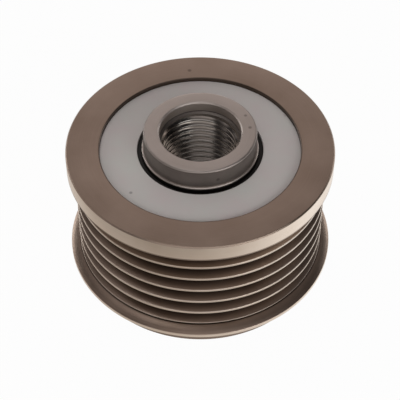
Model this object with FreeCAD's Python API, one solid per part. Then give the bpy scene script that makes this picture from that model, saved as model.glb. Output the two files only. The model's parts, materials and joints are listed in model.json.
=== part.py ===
import FreeCAD
import Part
import math
import os

# Six groove overrunning belt pulley. A grooved rim runs on a threaded hub: two roller bearings carry it,
# and a one-way roller clutch between them lets the rim drive the hub in one direction only.
# Millimetres. Z is the axis, z = 0 is the front face of the rim and +Z points to the hub's open end.

# Hub, from the thread outwards
thread_diameter = 16.0
thread_length = 18.0
thread_relief_depth = 0.3
thread_relief_width = 1.6
pilot_step = 0.5
pilot_depth = 2.6
pilot_chamfer = 0.3
hub_wall = 4.5
seal_journal_step = 0.35
hub_nose_step = 0.35
hub_nose_chamfer = 0.3
hub_projection = 4.4
hub_flange_height = 1.5
hub_flange_width = 1.8
socket_teeth = 33
socket_tip_step = 0.4
socket_tooth_depth = 0.7
socket_mouth_chamfer = 0.5

# Support bearings, from the hub outwards
inner_ring_thickness = 2.0
race_gap = 4.0
outer_ring_thickness = 2.5
bearing_width = 7.6
inner_rib_height = 1.0
outer_rib_height = 1.0
bearing_rib_width = 0.9
bearing_roller_count = 12

# One-way clutch
clutch_width = 7.8
clutch_race_thickness = 2.0
clutch_roller_count = 8
clutch_roller_diameter = 4.0
wedge_offset = 2.5
clutch_cage_rim_width = 0.8
spring_strip_thickness = 0.22
spring_folds = 4
spring_height = 1.9
spring_space = 2.6

# Seals
seal_width = 2.0
shield_thickness = 0.7
shield_cone_drop = 0.3
shield_to_journal_gap = 1.0
lip_thickness = 0.8
lip_bonded_width = 2.2

# Rim, from the bearing bore outwards
rim_wall = 2.4
groove_count = 6
groove_pitch = 3.56
groove_angle = 40.0
groove_depth = 3.0
rib_tip_land = 0.45
flange_height = 1.6
flange_edge_chamfer = 0.25
last_groove_widening = 0.22
front_lip_height = 2.0
front_lip_base = 4.0
front_lip_land = 0.8
front_lip_slope = 1.15
root_line_width = 0.22
root_line_depth = 0.25
root_land_width = 0.135
boss_step = 2.4
boss_chamfer = 0.2

# Rim, front recess and mouth
rear_shield_recess = 0.6
bore_mouth_chamfer = 0.1
rim_shoulder_height = 1.4
rim_shoulder_width = 1.4
cap_recess_step = 1.0
cap_recess_depth = 3.0
cap_recess_chamfer = 0.4
snap_groove_depth = 0.6
snap_groove_width = 0.9
snap_groove_height = 1.1

# Clearances
running_clearance = 0.03
key_clearance = 0.06
seal_lip_clearance = 0.05
cage_clearance = 0.15
cage_side_clearance = 0.25
roller_end_clearance = 0.1
clutch_cage_clearance = 0.3

# Radii that follow, from the hub outwards
thread_radius = thread_diameter / 2
seat_radius = thread_radius + hub_wall
journal_radius = seat_radius - seal_journal_step
nose_radius = journal_radius - hub_nose_step
hub_flange_radius = seat_radius + hub_flange_height
inner_race_radius = seat_radius + inner_ring_thickness
outer_race_radius = inner_race_radius + race_gap
bore_radius = outer_race_radius + outer_ring_thickness
clutch_race_radius = bore_radius - clutch_race_thickness
clutch_roller_radius = clutch_roller_diameter / 2
groove_root_radius = bore_radius + rim_wall
tip_radius = groove_root_radius + groove_depth
flange_radius = tip_radius + flange_height
lip_radius = tip_radius + front_lip_height

# Heights that follow, from the front face to the hub's open end
shoulder_top = cap_recess_depth + rim_shoulder_width
front_bearing_base = shoulder_top + seal_width
clutch_base = front_bearing_base + bearing_width
rear_bearing_base = clutch_base + clutch_width
rear_seal_base = rear_bearing_base + bearing_width
rim_width = rear_seal_base + seal_width + rear_shield_recess
hub_top = rim_width + hub_projection
hub_front = front_bearing_base - hub_flange_width

# Belt groove section
flank_slope = math.tan(math.radians(groove_angle / 2))
mouth_half_width = (groove_pitch - rib_tip_land) / 2
root_half_width = mouth_half_width - groove_depth * flank_slope
root_line_base = front_lip_base + front_lip_land + front_lip_slope
first_groove_centre = root_line_base + root_line_width + root_land_width + mouth_half_width

axis_origin = FreeCAD.Vector(0, 0, 0)
axis_direction = FreeCAD.Vector(0, 0, 1)


def turned(section):
    """Ring or disc turned about the axis from the (radius, height) corners of its half section."""
    corners = [FreeCAD.Vector(radius, 0, height) for radius, height in section]
    outline = Part.makePolygon(corners + corners[:1])
    return Part.Face(outline).revolve(axis_origin, axis_direction, 360)


def tube(inner_radius, outer_radius, base, height):
    """Plain ring between two radii."""
    top = base + height
    return turned([(inner_radius, base), (outer_radius, base), (outer_radius, top), (inner_radius, top)])


def turned_by(shape, degrees):
    """Copy of a shape turned about the axis."""
    copy = shape.copy()
    copy.rotate(axis_origin, axis_direction, degrees)
    return copy


def turned_over(shape, mid_height):
    """Copy of a shape turned end for end about the X direction at a height."""
    copy = shape.copy()
    copy.rotate(FreeCAD.Vector(0, 0, mid_height), FreeCAD.Vector(1, 0, 0), 180)
    return copy


def prism(corners, base, height):
    """Upright prism on the (x, y) corners."""
    points = [FreeCAD.Vector(x, y, base) for x, y in corners]
    outline = Part.makePolygon(points + points[:1])
    return Part.Face(outline).extrude(FreeCAD.Vector(0, 0, height))


def regular_outline(sides, flat_radius):
    """Corners of a regular polygon whose first flat faces +X."""
    corner_radius = flat_radius / math.cos(math.pi / sides)
    angles = [math.pi / sides * (2 * side + 1) for side in range(sides)]
    return [(corner_radius * math.cos(angle), corner_radius * math.sin(angle)) for angle in angles]


def groove_section(number):
    """Corners of one belt groove, counted from the front, from its front tip to its rear tip."""
    centre = first_groove_centre + number * groove_pitch
    return [
        (tip_radius, centre - mouth_half_width),
        (groove_root_radius, centre - root_half_width),
        (groove_root_radius, centre + root_half_width),
        (tip_radius, centre + mouth_half_width),
    ]


def make_rim():
    """Grooved rim with its rear flange, front lip and boss, bored for the bearings and the cap."""
    boss_radius = lip_radius - boss_step
    line_radius = tip_radius - root_line_depth
    outside = [
        (boss_radius - boss_chamfer, 0),
        (boss_radius, boss_chamfer),
        (boss_radius, front_lip_base),
        (lip_radius, front_lip_base),
        (lip_radius, front_lip_base + front_lip_land),
        (tip_radius, root_line_base),
        (line_radius, root_line_base),
        (line_radius, root_line_base + root_line_width),
        (tip_radius, root_line_base + root_line_width),
    ]
    for number in range(groove_count):
        outside += groove_section(number)
    last_root = outside[-2][1] + last_groove_widening
    edge_radius = flange_radius - flange_edge_chamfer
    edge_height = last_root + (edge_radius - groove_root_radius) * flank_slope
    outside[-2:] = [
        (groove_root_radius, last_root),
        (edge_radius, edge_height),
        (flange_radius, edge_height + flange_edge_chamfer),
        (flange_radius, rim_width - flange_edge_chamfer),
        (flange_radius - flange_edge_chamfer, rim_width),
    ]
    recess_radius = bore_radius + cap_recess_step
    snap_radius = recess_radius + snap_groove_depth
    snap_top = snap_groove_height + snap_groove_width
    shoulder_radius = bore_radius - rim_shoulder_height
    inside = [
        (bore_radius + bore_mouth_chamfer, rim_width),
        (bore_radius, rim_width - bore_mouth_chamfer),
        (bore_radius, shoulder_top),
        (shoulder_radius, shoulder_top),
        (shoulder_radius, cap_recess_depth),
        (recess_radius, cap_recess_depth),
        (recess_radius, snap_top),
        (snap_radius, snap_top),
        (snap_radius, snap_groove_height),
        (recess_radius, snap_groove_height),
        (recess_radius, cap_recess_chamfer),
        (recess_radius + cap_recess_chamfer, 0),
    ]
    return turned(outside + inside)


def tool_socket(depth):
    """Toothed hole for the fitting tool in the hub's front end."""
    tooth_tip_radius = thread_radius + socket_tip_step
    tooth_root_radius = tooth_tip_radius + socket_tooth_depth
    corners = []
    for step in range(2 * socket_teeth):
        angle = math.pi * step / socket_teeth
        radius = tooth_root_radius if step % 2 == 0 else tooth_tip_radius
        corners.append((radius * math.cos(angle), radius * math.sin(angle)))
    teeth = prism(corners, hub_front, depth)
    mouth_radius = tooth_root_radius + socket_mouth_chamfer
    mouth_depth = mouth_radius - tooth_tip_radius
    mouth = Part.makeCone(
        mouth_radius, tooth_tip_radius, mouth_depth, FreeCAD.Vector(0, 0, hub_front), axis_direction
    )
    return teeth.fuse(mouth)


def make_hub():
    """Hub sleeve: nose, seal journal, bearing seat and front flange outside; pilot, thread and socket inside."""
    pilot_radius = thread_radius + pilot_step
    relief_radius = thread_radius + thread_relief_depth
    thread_top = hub_top - pilot_depth
    thread_base = thread_top - thread_length
    relief_base = thread_base - thread_relief_width
    section = [
        (relief_radius, hub_front),
        (hub_flange_radius, hub_front),
        (hub_flange_radius, front_bearing_base),
        (seat_radius, front_bearing_base),
        (seat_radius, rear_seal_base),
        (journal_radius, rear_seal_base),
        (journal_radius, rim_width),
        (nose_radius, rim_width),
        (nose_radius, hub_top - hub_nose_chamfer),
        (nose_radius - hub_nose_chamfer, hub_top),
        (pilot_radius + pilot_chamfer, hub_top),
        (pilot_radius, hub_top - pilot_chamfer),
        (pilot_radius, thread_top),
        (thread_radius, thread_top),
        (thread_radius, thread_base),
        (relief_radius, thread_base),
    ]
    return turned(section).cut(tool_socket(relief_base - hub_front))


def make_shield(shaft_radius):
    """Stamped seal shield: a shallow cone with a rim that presses into the bore, standing on z = 0."""
    hole_radius = shaft_radius + shield_to_journal_gap
    rim_inner_radius = bore_radius - shield_thickness
    return turned([
        (bore_radius, 0),
        (bore_radius, seal_width - shield_cone_drop),
        (hole_radius, seal_width),
        (hole_radius, seal_width - shield_thickness),
        (rim_inner_radius, seal_width - shield_cone_drop - shield_thickness),
        (rim_inner_radius, 0),
    ])


def make_seal_lip(shaft_radius):
    """Rubber lip bonded to the underside of the shield, leaning in to the shaft it seals."""
    hole_radius = shaft_radius + shield_to_journal_gap
    bond_top = seal_width - shield_thickness
    underside_slope = shield_cone_drop / (bore_radius - shield_thickness - hole_radius)
    bond_end = bond_top - underside_slope * lip_bonded_width
    return turned([
        (hole_radius, bond_top),
        (shaft_radius + seal_lip_clearance, bond_top),
        (shaft_radius + seal_lip_clearance, bond_top - lip_thickness / 2),
        (hole_radius, bond_top - lip_thickness),
        (hole_radius + lip_bonded_width, bond_end - lip_thickness / 2),
        (hole_radius + lip_bonded_width, bond_end),
    ])


def make_bearing():
    """Rings, cage and one roller of a support bearing whose ribbed end is at the top, standing on z = 0."""
    outer_rib_radius = outer_race_radius - outer_rib_height
    inner_rib_radius = inner_race_radius + inner_rib_height
    top_rib_base = bearing_width - bearing_rib_width
    outer_ring = turned([
        (bore_radius, 0),
        (bore_radius, bearing_width),
        (outer_rib_radius, bearing_width),
        (outer_rib_radius, top_rib_base),
        (outer_race_radius, top_rib_base),
        (outer_race_radius, bearing_rib_width),
        (outer_rib_radius, bearing_rib_width),
        (outer_rib_radius, 0),
    ])
    inner_ring = turned([
        (seat_radius, 0),
        (seat_radius, bearing_width),
        (inner_rib_radius, bearing_width),
        (inner_rib_radius, top_rib_base),
        (inner_race_radius, top_rib_base),
        (inner_race_radius, 0),
    ])
    pitch_radius = (outer_race_radius + inner_race_radius) / 2
    roller_radius = (outer_race_radius - inner_race_radius) / 2 - running_clearance
    roller_length = top_rib_base - bearing_rib_width - 2 * roller_end_clearance
    roller_base = bearing_rib_width + roller_end_clearance
    roller = Part.makeCylinder(
        roller_radius, roller_length, FreeCAD.Vector(pitch_radius, 0, roller_base), axis_direction
    )
    pocket_half_width = roller_radius + cage_clearance
    pocket_base = roller_base - cage_clearance
    pocket_length = roller_length + 2 * cage_clearance
    cage = tube(
        inner_rib_radius + cage_side_clearance,
        outer_rib_radius - cage_side_clearance,
        cage_clearance,
        bearing_width - 2 * cage_clearance,
    )
    pockets = []
    for number in range(bearing_roller_count):
        pocket = Part.makeBox(
            race_gap,
            2 * pocket_half_width,
            pocket_length,
            FreeCAD.Vector(inner_race_radius, -pocket_half_width, pocket_base),
        )
        pockets.append(turned_by(pocket, 360 / bearing_roller_count * number))
    return outer_ring, inner_ring, cage.cut(pockets), roller


def wedge_flat_radius():
    """Distance from the axis to a cam flat, where a roller at the wedge offset just clears the outer race."""
    roller_path = clutch_race_radius - clutch_roller_radius - running_clearance
    return math.sqrt(roller_path ** 2 - wedge_offset ** 2) - clutch_roller_radius


def make_cam_ring():
    """Clutch inner ring with one flat for each roller."""
    flats = prism(regular_outline(clutch_roller_count, wedge_flat_radius()), clutch_base, clutch_width)
    bore = Part.makeCylinder(seat_radius, clutch_width, FreeCAD.Vector(0, 0, clutch_base), axis_direction)
    return flats.cut(bore)


def clutch_window_height():
    """Height of the cage's windows, between its two end rims."""
    return clutch_width - 2 * cage_clearance - 2 * clutch_cage_rim_width


def make_clutch_cage():
    """Clutch cage, keyed on the cam flats at both ends, with a pocket for each roller and its spring."""
    cage_base = clutch_base + cage_clearance
    cage_height = clutch_width - 2 * cage_clearance
    cage_radius = clutch_race_radius - clutch_cage_clearance
    blank = Part.makeCylinder(cage_radius, cage_height, FreeCAD.Vector(0, 0, cage_base), axis_direction)
    key_flat_radius = wedge_flat_radius() + key_clearance
    key_hole = prism(regular_outline(clutch_roller_count, key_flat_radius), cage_base, cage_height)
    inner_radius = key_flat_radius / math.cos(math.pi / clutch_roller_count) + key_clearance
    window_base = cage_base + clutch_cage_rim_width
    window_height = clutch_window_height()
    core = Part.makeCylinder(inner_radius, window_height, FreeCAD.Vector(0, 0, window_base), axis_direction)
    pocket_start = wedge_offset - clutch_roller_radius - spring_space
    pocket_end = wedge_offset + clutch_roller_radius + cage_clearance
    windows = [key_hole, core]
    for number in range(clutch_roller_count):
        window = Part.makeBox(
            cage_radius,
            pocket_end - pocket_start,
            window_height,
            FreeCAD.Vector(seat_radius, pocket_start, window_base),
        )
        windows.append(turned_by(window, 360 / clutch_roller_count * number))
    return blank.cut(windows)


def make_clutch_roller():
    """Clutch roller at its wedged place on the first cam flat."""
    roller_length = clutch_window_height() - 2 * cage_clearance
    roller_base = clutch_base + (clutch_width - roller_length) / 2
    centre = FreeCAD.Vector(wedge_flat_radius() + clutch_roller_radius, wedge_offset, roller_base)
    return Part.makeCylinder(clutch_roller_radius, roller_length, centre, axis_direction)


def make_clutch_spring():
    """Folded strip spring that pushes a roller from its cage bar into the wedge."""
    roller_side = wedge_offset - clutch_roller_radius
    cage_side = roller_side - spring_space
    middle = wedge_flat_radius() + clutch_roller_radius
    low = middle - spring_height / 2
    high = middle + spring_height / 2
    height = clutch_window_height() - 4 * cage_clearance
    base = clutch_base + (clutch_width - height) / 2
    leg_step = (spring_space - spring_strip_thickness) / spring_folds
    strip = prism(
        [(low, roller_side - spring_strip_thickness), (high, roller_side - spring_strip_thickness),
         (high, roller_side), (low, roller_side)],
        base,
        height,
    )
    for fold in range(spring_folds):
        near, far = (high, low) if fold % 2 == 0 else (low, high)
        start = roller_side - fold * leg_step
        end = start - leg_step
        leg = prism(
            [(near, start), (near, start - spring_strip_thickness),
             (far, end - spring_strip_thickness), (far, end)],
            base,
            height,
        )
        strip = strip.fuse(leg)
    foot = prism(
        [(low, cage_side), (high, cage_side), (high, cage_side + spring_strip_thickness),
         (low, cage_side + spring_strip_thickness)],
        base,
        height,
    )
    return strip.fuse(foot).removeSplitter()


def place_bearing(nodes, side, base, flipped):
    """Add one support bearing under its side's names, turned end for end where asked."""
    outer_ring, inner_ring, cage, roller = make_bearing()
    pieces = {"outer_ring": outer_ring, "inner_ring": inner_ring, "cage": cage}
    for number in range(bearing_roller_count):
        name = "roller_%02d" % (number + 1)
        pieces[name] = turned_by(roller, 360 / bearing_roller_count * number)
    for name, piece in pieces.items():
        seated = turned_over(piece, bearing_width / 2) if flipped else piece.copy()
        seated.translate(FreeCAD.Vector(0, 0, base))
        nodes[side + "_bearing_" + name] = seated


def place_seal(nodes, side, base, shaft_radius, flipped):
    """Add one seal under its side's names, turned end for end where asked."""
    for name, piece in {"shield": make_shield(shaft_radius), "lip": make_seal_lip(shaft_radius)}.items():
        seated = turned_over(piece, seal_width / 2) if flipped else piece
        seated.translate(FreeCAD.Vector(0, 0, base))
        nodes[side + "_seal_" + name] = seated


def build_nodes():
    """Every piece of the pulley under its node name."""
    nodes = {"pulley_rim": make_rim(), "hub_sleeve": make_hub()}
    place_seal(nodes, "rear", rear_seal_base, journal_radius, False)
    place_seal(nodes, "front", shoulder_top, hub_flange_radius, True)
    place_bearing(nodes, "rear", rear_bearing_base, False)
    place_bearing(nodes, "front", front_bearing_base, True)
    nodes["clutch_outer_race"] = tube(clutch_race_radius, bore_radius, clutch_base, clutch_width)
    nodes["clutch_cam_ring"] = make_cam_ring()
    nodes["clutch_cage"] = make_clutch_cage()
    roller = make_clutch_roller()
    spring = make_clutch_spring()
    for number in range(clutch_roller_count):
        degrees = 360 / clutch_roller_count * number
        nodes["clutch_roller_%d" % (number + 1)] = turned_by(roller, degrees)
        nodes["clutch_spring_%d" % (number + 1)] = turned_by(spring, degrees)
    return nodes


os.makedirs("parts", exist_ok=True)
for node_name, node_shape in build_nodes().items():
    solid = node_shape.Solids[0]
    if len(node_shape.Solids) != 1 or not solid.isValid():
        raise ValueError(node_name + " is not one valid solid")
    solid.exportStep("parts/" + node_name + ".step")
print("wrote", len(os.listdir("parts")), "nodes")
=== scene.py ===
import json
import math

import bpy
from mathutils import Matrix, Vector


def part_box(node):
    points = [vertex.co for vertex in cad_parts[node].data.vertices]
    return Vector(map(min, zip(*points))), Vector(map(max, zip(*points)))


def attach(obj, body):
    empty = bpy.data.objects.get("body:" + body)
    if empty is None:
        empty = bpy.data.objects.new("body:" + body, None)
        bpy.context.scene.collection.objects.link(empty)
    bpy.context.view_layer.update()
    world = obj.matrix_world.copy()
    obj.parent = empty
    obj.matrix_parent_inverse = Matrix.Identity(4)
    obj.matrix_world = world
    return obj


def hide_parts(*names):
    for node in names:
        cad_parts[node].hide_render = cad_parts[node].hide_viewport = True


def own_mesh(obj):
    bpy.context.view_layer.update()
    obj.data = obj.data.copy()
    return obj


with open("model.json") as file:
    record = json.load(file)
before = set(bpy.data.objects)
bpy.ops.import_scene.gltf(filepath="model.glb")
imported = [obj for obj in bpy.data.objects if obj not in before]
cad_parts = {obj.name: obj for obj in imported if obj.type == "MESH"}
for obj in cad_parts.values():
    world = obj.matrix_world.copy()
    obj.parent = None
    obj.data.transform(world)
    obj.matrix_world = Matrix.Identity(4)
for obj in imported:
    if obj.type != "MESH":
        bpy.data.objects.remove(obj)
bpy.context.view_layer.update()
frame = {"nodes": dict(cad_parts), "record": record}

MM = 0.001
TURN_STEPS = 288
FILLET_STEPS = 5
SHARP_ANGLE = math.radians(34)
SPRING_SHARP_ANGLE = math.radians(50)

# Sizes below are in millimetres; those that the frame's boxes give are read from them
_, rim_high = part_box("pulley_rim")
hub_low, hub_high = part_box("hub_sleeve")
spring_low, spring_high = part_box("clutch_spring_1")

RIM_TOP = rim_high.z / MM
LIP_RADIUS = rim_high.x / MM
FLANGE_RADIUS = 28.0
TIP_RADIUS = 26.4
BOSS_RADIUS = 26.0
BORE_RADIUS = 21.0
SHOULDER_RADIUS = 19.6
CAP_RADIUS = 22.0
SNAP_RADIUS = 22.6
EDGE_BREAK = 0.25

GROOVE_COUNT = 6
GROOVE_PITCH = 3.56
GROOVE_DEPTH = 3.0
GROOVE_SLOPE = math.tan(math.radians(20))
FIRST_GROOVE = 7.86
TIP_LAND = 0.45
LAST_GROOVE_WIDENING = 0.22

HUB_FRONT = hub_low.z / MM
HUB_TOP = hub_high.z / MM
HUB_FLANGE_RADIUS = 14.0
SEAT_RADIUS = 12.5
JOURNAL_RADIUS = 12.15
NOSE_RADIUS = 11.8
PILOT_RADIUS = 8.5
PILOT_FLOOR = 33.8
SOCKET_TEETH = 33
SOCKET_TIP, SOCKET_ROOT, SOCKET_MOUTH = 8.4, 9.1, 9.6
SOCKET_TOP = 14.2

THREAD_PITCH = 1.5
THREAD_MAJOR, THREAD_MINOR = 8.0, 7.3
THREAD_TOP, THREAD_BOTTOM = 33.4, 16.6
RELIEF_RADIUS = 8.3
RELIEF_TOP = 15.8

FRONT_SEAL_BASE, REAR_SEAL_BASE = 6.4, 29.4

SPRING_COUNT = 8
SPRING_STRIP = 0.22
SPRING_LEGS = 6


def profile(corners):
    """Closed outline in (radius, height) from corners (radius, height, fillet), each fillet an arc."""
    points = []
    count = len(corners)
    for index, (radius, height, fillet) in enumerate(corners):
        here = Vector((radius, height))
        if not fillet:
            points.append(here)
            continue
        before = (Vector(corners[index - 1][:2]) - here).normalized()
        after = (Vector(corners[(index + 1) % count][:2]) - here).normalized()
        half_angle = before.angle(after) / 2
        reach = fillet / math.tan(half_angle)
        centre = here + (before + after).normalized() * fillet / math.sin(half_angle)
        first = here + before * reach - centre
        last = here + after * reach - centre
        for step in range(FILLET_STEPS + 1):
            points.append(centre + first.lerp(last, step / FILLET_STEPS).normalized() * fillet)
    return points


def link(name, mesh):
    obj = bpy.data.objects.new(name, mesh)
    bpy.context.scene.collection.objects.link(obj)
    return obj


def piece(name, vertices, faces, sharp_angle=SHARP_ANGLE):
    """Object with a new smooth mesh, creased where its faces turn by more than an angle."""
    mesh = bpy.data.meshes.new(name)
    mesh.from_pydata(vertices, [], faces)
    mesh.validate()
    mesh.shade_smooth()
    mesh.set_sharp_from_angle(angle=sharp_angle)
    return link(name, mesh)


def turned(name, corners, turn_steps=TURN_STEPS, reshape=None):
    """Ring turned about the axis from the corners of its half section."""
    outline = profile(corners)
    rows = len(outline)
    vertices = []
    for turn in range(turn_steps):
        angle = 2 * math.pi * turn / turn_steps
        for radius, height in outline:
            if reshape:
                radius = reshape(angle, radius, height)
            vertices.append((radius * math.cos(angle) * MM, radius * math.sin(angle) * MM, height * MM))
    faces = []
    for turn in range(turn_steps):
        here = turn * rows
        there = (turn + 1) % turn_steps * rows
        for row in range(rows):
            up = (row + 1) % rows
            faces.append((here + row, there + row, there + up, here + up))
    return piece(name, vertices, faces)


class Graph:
    """Node tree of a material or the world, with short ways to add and link nodes."""

    def __init__(self, tree):
        self.tree = tree

    def feed(self, socket, value):
        """Give a socket another node's output, or else a constant."""
        if isinstance(value, bpy.types.NodeSocket):
            self.tree.links.new(value, socket)
        else:
            socket.default_value = value

    def add(self, kind, inputs=None, **settings):
        """New node, with its inputs given by name or number."""
        node = self.tree.nodes.new(kind)
        for key, value in settings.items():
            setattr(node, key, value)
        for key, value in (inputs or {}).items():
            self.feed(node.inputs[key], value)
        return node

    def math(self, operation, *values):
        return self.add("ShaderNodeMath", dict(enumerate(values)), operation=operation).outputs[0]

    def scale(self, vector, factor):
        node = self.add("ShaderNodeVectorMath", {0: vector, "Scale": factor}, operation="SCALE")
        return node.outputs[0]

    def spread(self, value, low, high, at_low, at_high):
        """Value carried from one range to another, held at the ends."""
        node = self.add("ShaderNodeMapRange", {
            "Value": value, "From Min": low, "From Max": high, "To Min": at_low, "To Max": at_high,
        })
        return node.outputs[0]

    def region(self, *spans):
        """Product of spreads."""
        total = None
        for span in spans:
            share = self.spread(*span)
            total = share if total is None else self.math("MULTIPLY", total, share)
        return total

    def place(self):
        return self.add("ShaderNodeTexCoord").outputs["Object"]

    def split(self, vector):
        return self.add("ShaderNodeSeparateXYZ", {0: vector}).outputs

    def outward_and_height(self):
        """Vector straight out from the axis to the point that is shaded, and its height, in metres."""
        x, y, z = self.split(self.place())
        return self.add("ShaderNodeCombineXYZ", {"X": x, "Y": y}).outputs[0], z

    def length(self, vector):
        return self.add("ShaderNodeVectorMath", {0: vector}, operation="LENGTH").outputs["Value"]

    def noise(self, vector, scale, detail, roughness):
        node = self.add("ShaderNodeTexNoise", {
            "Vector": vector, "Scale": scale, "Detail": detail, "Roughness": roughness,
        })
        return node.outputs["Fac"]

    def ramp(self, value, stops):
        """Colour ramp from (place, colour) stops."""
        node = self.add("ShaderNodeValToRGB", {"Fac": value})
        elements = node.color_ramp.elements
        for index, (place, colour) in enumerate(stops):
            element = elements[index] if index < 2 else elements.new(place)
            element.position = place
            element.color = (*colour, 1.0)
        return node.outputs["Color"]

    def bump(self, value, strength, distance):
        node = self.add("ShaderNodeBump", {"Strength": strength, "Distance": distance, "Height": value})
        return node.outputs["Normal"]


def new_material(name):
    """New material with its graph and its Principled shader's inputs."""
    material = bpy.data.materials.new(name)
    material.use_nodes = True
    return material, Graph(material.node_tree), material.node_tree.nodes["Principled BSDF"].inputs


def tool_coordinates(graph, fineness, swing):
    """Coordinates that change fast with radius and height and little round the axis, as a tool's marks do."""
    outward, height = graph.outward_and_height()
    unit = graph.add("ShaderNodeVectorMath", {0: outward}, operation="NORMALIZE").outputs[0]
    along_radius = graph.math("MULTIPLY", graph.length(outward), fineness)
    along_height = graph.math("MULTIPLY", height, fineness)
    lift = graph.add("ShaderNodeCombineXYZ", {"Z": graph.math("ADD", along_radius, along_height)}).outputs[0]
    round_axis = graph.scale(unit, swing)
    return graph.add("ShaderNodeVectorMath", {0: round_axis, 1: lift}, operation="ADD").outputs[0]


def height_share(graph, height, low, high):
    """1 inside a span of heights and 0 outside it, with soft ends."""
    soft = 0.08
    return graph.region(
        (height, (low - soft) * MM, (low + soft) * MM, 0.0, 1.0),
        (height, (high - soft) * MM, (high + soft) * MM, 1.0, 0.0),
    )


def painted_zone_shade(graph, zones):
    """Product of painted shade and painted light factors, each held to a span of heights and carried between
    two radii.
    """
    outward, height = graph.outward_and_height()
    radius = graph.length(outward)
    total = None
    for (low, high), (inner, outer), (inner_shade, outer_shade) in zones:
        inside = height_share(graph, height, low, high)
        darker = graph.spread(radius, inner * MM, outer * MM, 1.0 - inner_shade, 1.0 - outer_shade)
        shade = graph.math("SUBTRACT", 1.0, graph.math("MULTIPLY", inside, darker))
        total = shade if total is None else graph.math("MULTIPLY", total, shade)
    return total


def painted_highlight_share(graph, spans):
    """Share of the painted highlight, a lighter metal colour: full in each span of heights beyond the outer
    of two radii.
    """
    outward, height = graph.outward_and_height()
    radius = graph.length(outward)
    total = None
    for (low, high), (inner, outer) in spans:
        beyond = graph.spread(radius, inner * MM, outer * MM, 0.0, 1.0)
        share = graph.math("MULTIPLY", height_share(graph, height, low, high), beyond)
        total = share if total is None else graph.math("MAXIMUM", total, share)
    return total


def speckled(graph, colour, specks):
    """Colour with small dark pits at given places: (x, y, z) and radius."""
    darkest, core = 0.58, 0.4
    place = graph.place()
    for centre, size in specks:
        middle = [part * MM for part in centre]
        gap = graph.add("ShaderNodeVectorMath", {0: place, 1: middle}, operation="DISTANCE").outputs["Value"]
        colour = graph.scale(colour, graph.spread(gap, size * core * MM, size * MM, darkest, 1.0))
    return colour


def turned_metal(name, tones, roughness, mark_depth, zones=(), specks=(), painted_highlight=None):
    """Turned steel: fine rings left by the tool, cloudy colour, a soft grain, zones of painted shade and
    painted light, and a lighter metal colour as painted highlight.
    """
    material, graph, shader = new_material(name)
    roughness_swing = 0.07
    rings = graph.noise(tool_coordinates(graph, 9000.0, 1.2), 1.0, 2.0, 0.7)
    place = graph.place()
    clouds = graph.noise(place, 90.0, 3.0, 0.55)
    grain = graph.noise(place, 2600.0, 2.0, 0.6)
    tone = graph.math("MULTIPLY_ADD", rings, 0.35, clouds)
    colour = graph.ramp(tone, list(zip((0.45, 0.66, 0.9), tones)))
    # Painted highlight: a much lighter metal colour mixed in where spans are given
    if painted_highlight:
        highlight_tones, spans = painted_highlight
        bright = graph.ramp(tone, list(zip((0.45, 0.9), highlight_tones)))
        # A colour mix's sockets: 0 is the share, 6 and 7 are its colours, and output 2 the mixed one
        inputs = {0: painted_highlight_share(graph, spans), 6: colour, 7: bright}
        colour = graph.add("ShaderNodeMix", inputs, data_type="RGBA").outputs[2]
    # Painted shade and painted light, zone by zone
    if zones:
        colour = graph.scale(colour, painted_zone_shade(graph, zones))
    graph.feed(shader["Base Color"], speckled(graph, colour, specks))
    smoothest, roughest = roughness - roughness_swing, roughness + roughness_swing
    graph.feed(shader["Roughness"], graph.spread(clouds, 0.0, 1.0, smoothest, roughest))
    shader["Metallic"].default_value = 1.0
    marks = graph.math("MULTIPLY_ADD", grain, 0.4, rings)
    graph.feed(shader["Normal"], graph.bump(marks, 0.5, mark_depth))
    return material


def moulded(name, tones, roughness, fineness, depth, specks=()):
    """Matt moulded or bonded surface with faint clouds and a fine grain."""
    material, graph, shader = new_material(name)
    place = graph.place()
    clouds = graph.noise(place, 110.0, 4.0, 0.6)
    colour = graph.ramp(clouds, list(zip((0.3, 0.7), tones)))
    graph.feed(shader["Base Color"], speckled(graph, colour, specks))
    grain = graph.noise(place, fineness, 2.0, 0.6)
    graph.feed(shader["Normal"], graph.bump(grain, 0.4, depth))
    shader["Roughness"].default_value = roughness
    return material


def paint(obj, material):
    obj.data.materials.clear()
    obj.data.materials.append(material)


# Zones of painted shade and painted light: span of heights, inner and outer radius, shade at each of the two
# radii
RIM_PAINTED_SHADING = [
    ((6.35, 27.95), (23.8, 26.2), (0.08, 1.13)),  # belt grooves, painted shade towards their roots and painted light near the ridges
    ((6.3, 28.1), (26.25, 26.35), (1.0, 0.72)),  # ridges, darker, dimming their painted highlight
    ((4.7, 5.3), (27.6, 27.9), (1.0, 1.2)),  # front lip's upper edge, painted highlight
    ((5.85, 6.25), (26.5, 26.8), (0.3, 1.0)),  # root line behind the lip, painted shade in it
    ((31.0, 32.2), (21.1, 21.3), (0.35, 1.0)),  # bore's wall above the shield, painted shade
]
# Painted highlights as lighter metal colour: span of heights, radii between which the lighter colour begins
RIM_PAINTED_HIGHLIGHTS = [
    ((28.45, 31.7), (27.85, 27.97)),  # flange's land
    ((4.0, 4.75), (28.2, 28.35)),  # front lip's land
    ((6.3, 28.2), (26.2, 26.35)),  # ridges
]
HUB_PAINTED_SHADING = [
    ((32.1, 36.0), (11.5, 11.7), (1.0, 0.54)),  # nose's outer wall, painted shade
    ((33.6, 34.1), (8.5, 8.6), (0.4, 1.0)),  # ledge between pilot bore and thread, painted shade
    ((29.0, 31.6), (11.9, 12.05), (1.0, 0.08)),  # journal, painted shade deep in the seal's gap
    ((35.85, 36.7), (11.4, 11.6), (1.0, 0.7)),  # rounded outer edge, painted shade that dims its highlight
    ((34.15, 36.0), (8.6, 8.7), (1.45, 1.0)),  # pilot bore's wall, painted light
]
# Thread: painted shade on the crests and painted light towards the roots
THREAD_PAINTED_SHADING = [((14.0, 33.6), (7.65, 7.8), (0.7, 1.3))]

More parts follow.
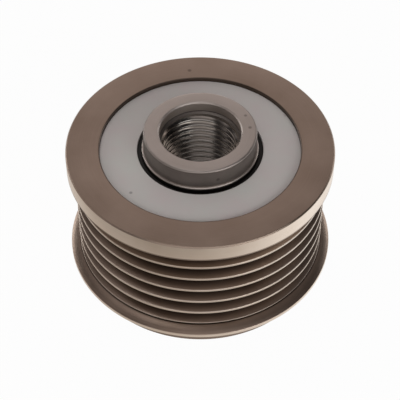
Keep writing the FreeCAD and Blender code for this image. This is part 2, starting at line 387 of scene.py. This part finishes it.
rim_metal = turned_metal(
    "turned_brown_steel",
    ((0.26, 0.198, 0.157), (0.294, 0.227, 0.184), (0.333, 0.259, 0.211)), 0.34, 0.00002,
    zones=RIM_PAINTED_SHADING,
    specks=[((-2.34, 23.41, 32.0), 0.55)],
    # Painted highlight on the lands and ridges
    painted_highlight=(((0.84, 0.715, 0.6), (0.96, 0.85, 0.745)), RIM_PAINTED_HIGHLIGHTS),
)
hub_metal = turned_metal(
    "turned_hub_steel",
    ((0.38, 0.34, 0.31), (0.43, 0.385, 0.355), (0.48, 0.43, 0.4)), 0.45, 0.00002,
    zones=HUB_PAINTED_SHADING,
    specks=[((10.27, 1.02, 36.4), 0.5), ((9.41, 4.58, 36.4), 0.45), ((3.6, -11.24, 33.73), 0.5)],
)
thread_metal = turned_metal(
    "turned_thread_steel",
    ((0.38, 0.355, 0.33), (0.45, 0.42, 0.39), (0.52, 0.485, 0.45)), 0.16, 0.00001,
    zones=THREAD_PAINTED_SHADING,
)
seal_plastic = moulded(
    "seal_grey", ((0.655, 0.6, 0.595), (0.635, 0.645, 0.615)), 0.75, 2500.0, 0.00002,
    specks=[((-14.03, -12.5, 31.2), 0.45)],
)
rubber = moulded("seal_rubber", ((0.005, 0.004, 0.003), (0.014, 0.011, 0.009)), 0.7, 3000.0, 0.00002)
ground_steel = turned_metal(
    "ground_steel", ((0.5, 0.5, 0.5), (0.58, 0.58, 0.58), (0.66, 0.66, 0.66)), 0.25, 0.000006,
)
cage_plastic = moulded("cage_polymer", ((0.45, 0.38, 0.25), (0.52, 0.45, 0.3)), 0.5, 2000.0, 0.00001)
spring_metal = turned_metal(
    "spring_steel", ((0.4, 0.4, 0.42), (0.48, 0.48, 0.5), (0.56, 0.56, 0.58)), 0.3, 0.000004,
)

SLOT_MATERIALS = {
    "rim_steel": rim_metal,
    "hub_steel": hub_metal,
    "seal_grey": seal_plastic,
    "seal_rubber": rubber,
    "bearing_steel": ground_steel,
    "cage_polymer": cage_plastic,
    "spring_steel": spring_metal,
}


def groove_corners():
    """Corners of the belt grooves and the ridges between them, from the front up."""
    tip_half = (GROOVE_PITCH - TIP_LAND) / 2
    root_half = tip_half - GROOVE_DEPTH * GROOVE_SLOPE
    root_radius = TIP_RADIUS - GROOVE_DEPTH
    tip_round, root_round = 0.12, 0.3
    corners = []
    for number in range(GROOVE_COUNT):
        centre = FIRST_GROOVE + number * GROOVE_PITCH
        corners += [
            (TIP_RADIUS, centre - tip_half, tip_round),
            (root_radius, centre - root_half, root_round),
            (root_radius, centre + root_half, root_round),
            (TIP_RADIUS, centre + tip_half, tip_round),
        ]
    last_root = centre + root_half + LAST_GROOVE_WIDENING
    edge_radius = FLANGE_RADIUS - EDGE_BREAK
    edge_height = last_root + (edge_radius - root_radius) * GROOVE_SLOPE
    corners[-2:] = [
        (root_radius, last_root, root_round),
        (edge_radius, edge_height, 0.1),
        (FLANGE_RADIUS, edge_height + EDGE_BREAK, 0.1),
    ]
    return corners


def make_rim():
    lip_front, lip_land_end = 4.0, 4.8
    line_low, line_high, line_depth = 5.95, 6.17, 0.25
    shoulder_top, cap_floor = 4.4, 3.0
    snap_low, snap_high = 1.1, 2.0
    boss_chamfer, bore_chamfer, cap_chamfer = 0.2, 0.1, 0.4
    corners = [
        (BOSS_RADIUS - boss_chamfer, 0.0, 0.05),
        (BOSS_RADIUS, boss_chamfer, 0.05),
        (BOSS_RADIUS, lip_front, 0.1),
        (LIP_RADIUS, lip_front, 0.12),
        (LIP_RADIUS, lip_land_end, 0.2),
        (TIP_RADIUS, line_low, 0.0),
        (TIP_RADIUS - line_depth, line_low, 0.0),
        (TIP_RADIUS - line_depth, line_high, 0.0),
        (TIP_RADIUS, line_high, 0.0),
    ]
    corners += groove_corners()
    corners += [
        (FLANGE_RADIUS, RIM_TOP - EDGE_BREAK, 0.1),
        (FLANGE_RADIUS - EDGE_BREAK, RIM_TOP, 0.1),
        (BORE_RADIUS + bore_chamfer, RIM_TOP, 0.02),
        (BORE_RADIUS, RIM_TOP - bore_chamfer, 0.02),
        (BORE_RADIUS, shoulder_top, 0.0),
        (SHOULDER_RADIUS, shoulder_top, 0.1),
        (SHOULDER_RADIUS, cap_floor, 0.1),
        (CAP_RADIUS, cap_floor, 0.1),
        (CAP_RADIUS, snap_high, 0.05),
        (SNAP_RADIUS, snap_high, 0.0),
        (SNAP_RADIUS, snap_low, 0.0),
        (CAP_RADIUS, snap_low, 0.05),
        (CAP_RADIUS, cap_chamfer, 0.05),
        (CAP_RADIUS + cap_chamfer, 0.0, 0.1),
    ]
    return turned("rim_turned", corners)


def socket_shape(angle, radius, height):
    """Radius of the hub's wall, with the fitting tool's teeth and their mouth cone cut into its front end."""
    if radius > SOCKET_MOUTH or height > SOCKET_TOP:
        return radius
    share = angle * SOCKET_TEETH / (2 * math.pi) % 1.0
    tooth = SOCKET_ROOT - (SOCKET_ROOT - SOCKET_TIP) * (1 - abs(1 - 2 * share))
    return max(tooth, SOCKET_MOUTH - (height - HUB_FRONT))


def make_hub():
    """Threaded hub, with extra rows in the socket's mouth for its cone."""
    journal_chamfer, pilot_chamfer, ledge_half = 0.16, 0.3, 0.15
    corners = [
        (SOCKET_MOUTH, HUB_FRONT, 0.0),
        (HUB_FLANGE_RADIUS, HUB_FRONT, 0.2),
        (HUB_FLANGE_RADIUS, FRONT_SEAL_BASE, 0.1),
        (SEAT_RADIUS, FRONT_SEAL_BASE, 0.0),
        (SEAT_RADIUS, REAR_SEAL_BASE, 0.1),
        (JOURNAL_RADIUS, REAR_SEAL_BASE, 0.0),
        (JOURNAL_RADIUS, RIM_TOP - journal_chamfer, 0.02),
        (JOURNAL_RADIUS - journal_chamfer, RIM_TOP, 0.02),
        (NOSE_RADIUS, RIM_TOP, 0.0),
        (NOSE_RADIUS, HUB_TOP, 0.5),
        (PILOT_RADIUS + pilot_chamfer, HUB_TOP, 0.05),
        (PILOT_RADIUS, HUB_TOP - pilot_chamfer, 0.05),
        (PILOT_RADIUS, PILOT_FLOOR + ledge_half, 0.0),
        (THREAD_MAJOR, PILOT_FLOOR - ledge_half, 0.0),
        (THREAD_MAJOR, RELIEF_TOP, 0.0),
        (RELIEF_RADIUS, RELIEF_TOP, 0.0),
        (RELIEF_RADIUS, SOCKET_TOP + 0.01, 0.0),
        (SOCKET_TIP, SOCKET_TOP, 0.0),
        (SOCKET_TIP, HUB_FRONT + 1.2, 0.0),
        (SOCKET_TIP, HUB_FRONT + 0.85, 0.0),
        (SOCKET_TIP, HUB_FRONT + 0.5, 0.0),
    ]
    steps_per_tooth = 10
    return turned("hub_turned", corners, SOCKET_TEETH * steps_per_tooth, socket_shape)


def make_thread():
    """Helical ridge of the hub's thread, standing in from the bore wall, with run-outs at both ends."""
    base_half, crest_half, crest_round, sunk = 0.655, 0.13, 0.06, 0.03
    steps = 96
    total = int(steps * (THREAD_TOP - THREAD_BOTTOM) / THREAD_PITCH)
    run_out = steps // 4
    crest_height, crest_angle = 32.2, math.radians(54)
    start_angle = crest_angle + 2 * math.pi * (THREAD_TOP - crest_height) / THREAD_PITCH
    edge_half = crest_half + 0.04
    flank_share = 0.17
    least_share = 0.02
    vertices = []
    for step in range(total + 1):
        angle = start_angle - 2 * math.pi * step / steps
        centre = THREAD_TOP - THREAD_PITCH * step / steps
        share = max(least_share, min(1.0, step / (3 * run_out), (total - step) / run_out))
        crest = THREAD_MAJOR - (THREAD_MAJOR - THREAD_MINOR) * share
        flank_radius = crest + crest_round + (THREAD_MAJOR - crest) * flank_share
        section = (
            (THREAD_MAJOR + sunk, base_half),
            (flank_radius, edge_half + (base_half - crest_half) * flank_share),
            (crest + crest_round, edge_half),
            (crest, crest_half * 0.6),
            (crest, -crest_half * 0.6),
            (crest + crest_round, -edge_half),
            (THREAD_MAJOR + sunk, -base_half),
        )
        vertices += [
            (radius * math.cos(angle) * MM, radius * math.sin(angle) * MM, (centre + rise) * MM)
            for radius, rise in section
        ]
    size = len(section)
    faces = []
    for step in range(total):
        here, there = step * size, (step + 1) * size
        for row in range(size):
            up = (row + 1) % size
            faces.append((here + row, here + up, there + up, there + row))
    faces.append(tuple(range(size - 1, -1, -1)))
    faces.append(tuple(total * size + row for row in range(size)))
    return piece("hub_thread", vertices, faces)


def make_seal(side, base, direction, shaft_radius):
    """Shield and rubber lip of one seal, from the bearing side outwards along the axis."""
    width, sheet, cone_drop = 2.0, 0.7, 0.3
    lip_thickness, lip_edge, bond_width, clearance = 0.8, 0.4, 2.2, 0.05
    hole = shaft_radius + 1.0
    bond = hole + bond_width
    lip_radius = shaft_radius + clearance
    rim_inside = BORE_RADIUS - sheet
    inner = width - sheet
    bond_height = inner - cone_drop / (rim_inside - hole) * bond_width
    shield_corners = [
        (BORE_RADIUS, 0.0, 0.05),
        (BORE_RADIUS, width - cone_drop, 0.12),
        (hole, width, 0.1),
        (hole, inner, 0.05),
        (rim_inside, inner - cone_drop, 0.1),
        (rim_inside, 0.0, 0.05),
    ]
    lip_corners = [
        (hole, inner, 0.0),
        (lip_radius, inner, 0.08),
        (lip_radius, inner - lip_edge, 0.08),
        (hole, inner - lip_thickness, 0.1),
        (bond, bond_height - lip_edge, 0.1),
        (bond, bond_height, 0.0),
    ]

    def seated(corners):
        placed = [(radius, base + direction * height, fillet) for radius, height, fillet in corners]
        return placed[::direction]

    shield = turned(side + "_shield_disc", seated(shield_corners))
    lip = turned(side + "_lip_ring", seated(lip_corners))
    return shield, lip


def strip_line():
    """Centre line of the folded strip in (radius, along the slide), with rounded bends."""
    half = SPRING_STRIP / 2
    near, far = spring_low.x / MM + half, spring_high.x / MM - half
    roller_end, cage_end = spring_high.y / MM - half, spring_low.y / MM + half
    leg_shares = (0.12, 0.3, 0.7, 0.88)
    roundings = 2
    corners = []
    for leg in range(SPRING_LEGS + 1):
        share = max(0, min(1, (leg - 1) / (SPRING_LEGS - 2)))
        corners.append(Vector((near if leg % 2 == 0 else far, roller_end + (cage_end - roller_end) * share)))
    line = [corners[0]]
    for first, last in zip(corners, corners[1:]):
        line += [first.lerp(last, share) for share in leg_shares] + [last]
    for _ in range(roundings):
        rounded = [line[0]]
        for first, last in zip(line, line[1:]):
            rounded += [first.lerp(last, 0.25), first.lerp(last, 0.75)]
        line = rounded + [line[-1]]
    return line


def make_spring(number):
    """Folded strip spring of one clutch roller, sized to its part's box."""
    line = strip_line()
    turn = Matrix.Rotation(2 * math.pi * (number - 1) / SPRING_COUNT, 3, "Z")
    vertices = []
    for index, point in enumerate(line):
        ahead = (line[min(index + 1, len(line) - 1)] - line[max(index - 1, 0)]).normalized()
        aside = Vector((-ahead.y, ahead.x)) * SPRING_STRIP / 2
        for place, height in ((point + aside, spring_low.z), (point - aside, spring_low.z),
                              (point - aside, spring_high.z), (point + aside, spring_high.z)):
            vertices.append(turn @ Vector((place.x * MM, place.y * MM, height)))
    faces = [(0, 1, 2, 3)]
    for index in range(len(line) - 1):
        here, there = index * 4, index * 4 + 4
        for side in range(4):
            up = (side + 1) % 4
            faces.append((here + side, there + side, there + up, here + up))
    faces.append(tuple(range(len(vertices) - 1, len(vertices) - 5, -1)))
    spring = piece("spring_strip_%d" % number, vertices, faces, SPRING_SHARP_ANGLE)
    paint(spring, spring_metal)
    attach(spring, "hub")
    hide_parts("clutch_spring_%d" % number)
    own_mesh(spring)


rim = make_rim()
paint(rim, rim_metal)
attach(rim, "rim")
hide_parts("pulley_rim")

hub = make_hub()
paint(hub, hub_metal)
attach(hub, "hub")
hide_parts("hub_sleeve")

thread = make_thread()
paint(thread, thread_metal)
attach(thread, "hub")

for side, base, direction, shaft_radius in (
    ("rear", REAR_SEAL_BASE, 1, JOURNAL_RADIUS),
    ("front", FRONT_SEAL_BASE, -1, HUB_FLANGE_RADIUS),
):
    shield, lip = make_seal(side, base, direction, shaft_radius)
    paint(shield, seal_plastic)
    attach(shield, "rim")
    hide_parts(side + "_seal_shield")
    paint(lip, rubber)
    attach(lip, "rim")
    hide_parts(side + "_seal_lip")

for number in range(SPRING_COUNT):
    make_spring(number + 1)

for part in frame["record"]["subparts"]:
    node = frame["nodes"][part["node"]]
    node.data.materials.clear()
    node.data.materials.append(SLOT_MATERIALS[part["material_slot"]])


def make_floor():
    """Pale floor: white to the camera, with a soft shadow, and with painted shade that makes it dimmer and
    warmer at front left in reflections.
    """
    half, level = 3.0, -0.1 * MM
    camera_share, glossy_share = 0.97, 0.85
    mesh = bpy.data.meshes.new("floor")
    corners = [(-half, -half, level), (half, -half, level), (half, half, level), (-half, half, level)]
    mesh.from_pydata(corners, [], [(0, 1, 2, 3)])
    floor = link("floor", mesh)
    material = bpy.data.materials.new("floor_white")
    material.use_nodes = True
    material.node_tree.nodes.clear()
    graph = Graph(material.node_tree)

    rays = graph.add("ShaderNodeLightPath").outputs
    # Painted shade: the floor as metals reflect it is dimmer and warmer towards the front left
    brighter_way = {0: graph.place(), 1: (9.0, 13.0, 0.0)}
    along = graph.add("ShaderNodeVectorMath", brighter_way, operation="DOT_PRODUCT").outputs["Value"]
    painted_floor_shade = graph.spread(along, -0.9, 0.17, 0.27, 1.0)
    dimming = graph.math("MULTIPLY", rays["Is Glossy Ray"], graph.math("SUBTRACT", painted_floor_shade, 1.0))
    strength = graph.math("ADD", dimming, 1.0)
    tint = graph.ramp(strength, [(0.35, (1.0, 0.9, 0.8)), (1.0, (1.0, 1.0, 1.0))])
    glow = graph.add("ShaderNodeEmission", {"Strength": strength, "Color": tint})
    diffuse = graph.add("ShaderNodeBsdfDiffuse", {"Color": (0.8, 0.8, 0.8, 1)})
    seen = graph.math("MULTIPLY", rays["Is Camera Ray"], camera_share)
    mirrored = graph.math("MULTIPLY", rays["Is Glossy Ray"], glossy_share)
    share = graph.math("ADD", seen, mirrored)
    mix = graph.add("ShaderNodeMixShader", {0: share, 1: diffuse.outputs[0], 2: glow.outputs[0]})
    graph.add("ShaderNodeOutputMaterial", {"Surface": mix.outputs[0]})
    floor.data.materials.append(material)


def make_world():
    """Studio surround: pale at the horizon, with a window behind and at the left, and white to the camera."""
    world = bpy.data.worlds.new("studio")
    bpy.context.scene.world = world
    world.use_nodes = True
    world.node_tree.nodes.clear()
    graph = Graph(world.node_tree)

    x, y, z = graph.split(graph.add("ShaderNodeTexCoord").outputs["Generated"])
    beside = graph.math("ABSOLUTE", x)
    level = graph.spread(x, -0.65, 0.65, 0.44, 0.15)
    dark_sides = graph.region(
        (beside, 0.46, 0.6, 0.0, 0.95), (z, 0.14, 0.24, 0.0, 1.0), (z, 0.7, 0.78, 1.0, 0.0),
    )
    dark_front = graph.region(
        (beside, 0.3, 0.42, 0.0, 0.9), (z, 0.62, 0.7, 0.0, 1.0), (y, -0.2, -0.02, 1.0, 0.0),
    )
    dark_low_back = graph.region(
        (beside, 0.12, 0.25, 0.0, 0.8), (z, 0.36, 0.46, 1.0, 0.0), (y, 0.0, 0.2, 0.0, 1.0),
    )
    for dark in (dark_sides, dark_front, dark_low_back):
        level = graph.math("MULTIPLY", level, graph.math("SUBTRACT", 1.0, dark))
    back_window = graph.region(
        (beside, 0.04, 0.5, 1.0, 0.0), (y, 0.0, 0.5, 0.0, 1.0), (z, 0.45, 0.9, 0.8, 0.03),
    )
    left_window = graph.region(
        (x, -0.88, -0.75, 0.7, 0.0), (z, 0.1, 0.2, 0.0, 1.0), (z, 0.45, 0.58, 1.0, 0.0),
    )
    overhead = graph.spread(z, 0.88, 0.97, 0.0, 0.06)
    horizon = graph.region((x, -0.8, 0.8, 0.7, 1.1), (z, 0.0, 0.22, 1.0, 0.0))
    for light in (back_window, left_window, overhead, horizon):
        level = graph.math("ADD", level, light)

    surround = graph.add("ShaderNodeBackground", {"Color": (1.0, 0.9, 0.87, 1), "Strength": level})
    white = graph.add("ShaderNodeBackground", {"Color": (1, 1, 1, 1), "Strength": 1.0})
    camera_ray = graph.add("ShaderNodeLightPath").outputs["Is Camera Ray"]
    mix = graph.add("ShaderNodeMixShader", {0: camera_ray, 1: surround.outputs[0], 2: white.outputs[0]})
    graph.add("ShaderNodeOutputWorld", {"Surface": mix.outputs[0]})


def add_lamp(name, place, size, power):
    """Area lamp, aimed at the middle of the object."""
    target = Vector((0, 0, 0.02))
    data = bpy.data.lights.new(name, "AREA")
    data.shape = "RECTANGLE"
    data.size, data.size_y = size
    data.energy = power
    lamp = bpy.data.objects.new(name, data)
    bpy.context.scene.collection.objects.link(lamp)
    lamp.location = place
    lamp.rotation_euler = (target - Vector(place)).to_track_quat("-Z", "Y").to_euler()


def add_camera():
    """Camera at the photograph's viewing angle, from a pinhole fit to the pulley's circles."""
    elevation = math.radians(47.173)
    distance = 0.3063
    focal_pixels, frame_pixels, sensor = 1415.9, 400, 36.0
    target = Vector((0, 0, 0.01538))
    data = bpy.data.cameras.new("camera")
    data.sensor_width = sensor
    data.lens = focal_pixels / frame_pixels * sensor
    data.shift_x = -0.0005
    data.shift_y = 0.00125
    data.clip_start = 0.01
    camera = bpy.data.objects.new("camera", data)
    bpy.context.scene.collection.objects.link(camera)
    camera.location = target + distance * Vector((0, -math.cos(elevation), math.sin(elevation)))
    camera.rotation_euler = (target - camera.location).to_track_quat("-Z", "Y").to_euler()
    bpy.context.scene.camera = camera


# Lamps: name, place and size in metres, power in watts
LAMPS = [
    ("overhead_softbox", (-0.12, 0.04, 0.7), (0.25, 0.25), 0.4),
    ("front_softbox", (0.0, -0.67, 0.44), (1.1, 0.5), 1.5),
    ("left_back_softbox", (-0.52, 0.42, 0.14), (0.3, 0.14), 0.45),
    ("right_back_softbox", (0.52, 0.42, 0.14), (0.3, 0.14), 0.32),
    ("left_softbox", (-0.52, -0.52, 0.3), (0.45, 0.45), 0.08),
    ("right_softbox", (0.52, -0.52, 0.3), (0.45, 0.45), 1.4),
]

make_floor()
make_world()
for lamp in LAMPS:
    add_lamp(*lamp)
add_camera()

scene = bpy.context.scene
scene.view_settings.view_transform = "Standard"
